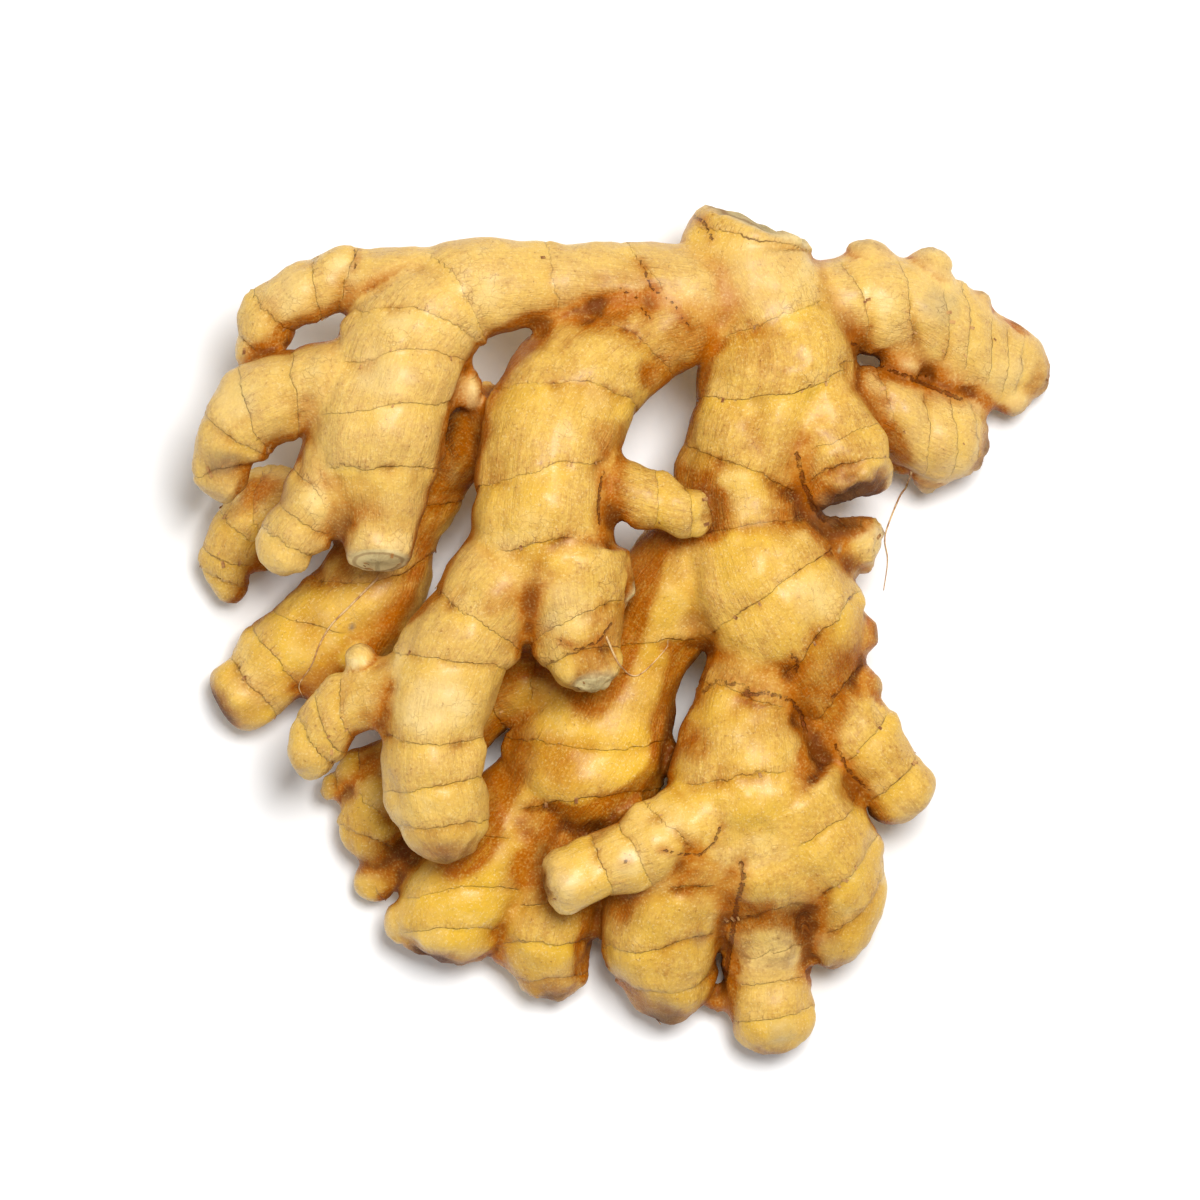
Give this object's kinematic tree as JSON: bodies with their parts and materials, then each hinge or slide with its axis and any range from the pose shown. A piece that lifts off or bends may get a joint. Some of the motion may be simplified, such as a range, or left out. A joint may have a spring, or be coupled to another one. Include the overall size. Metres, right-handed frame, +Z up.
{
  "type": "ginger root",
  "caption": "Whole fresh ginger rhizome lying flat: a thick trunk with broad ringed hands that branch into blunt fingers, buds and cut stubs.",
  "frame": {"origin": "middle of the overall box, on the table plane under the resting spots", "axes": "+Z up from the table, +Y towards the cut head of the trunk, +X towards the knobbly right finger"},
  "size_m": [0.2154, 0.2114, 0.0635],
  "materials": {
    "ginger_skin": "dry papery tan skin over yellow flesh, soft sheen"
  },
  "bodies": {
    "root": {"ginger_root": "ginger_skin"}
  },
  "joints": []
}
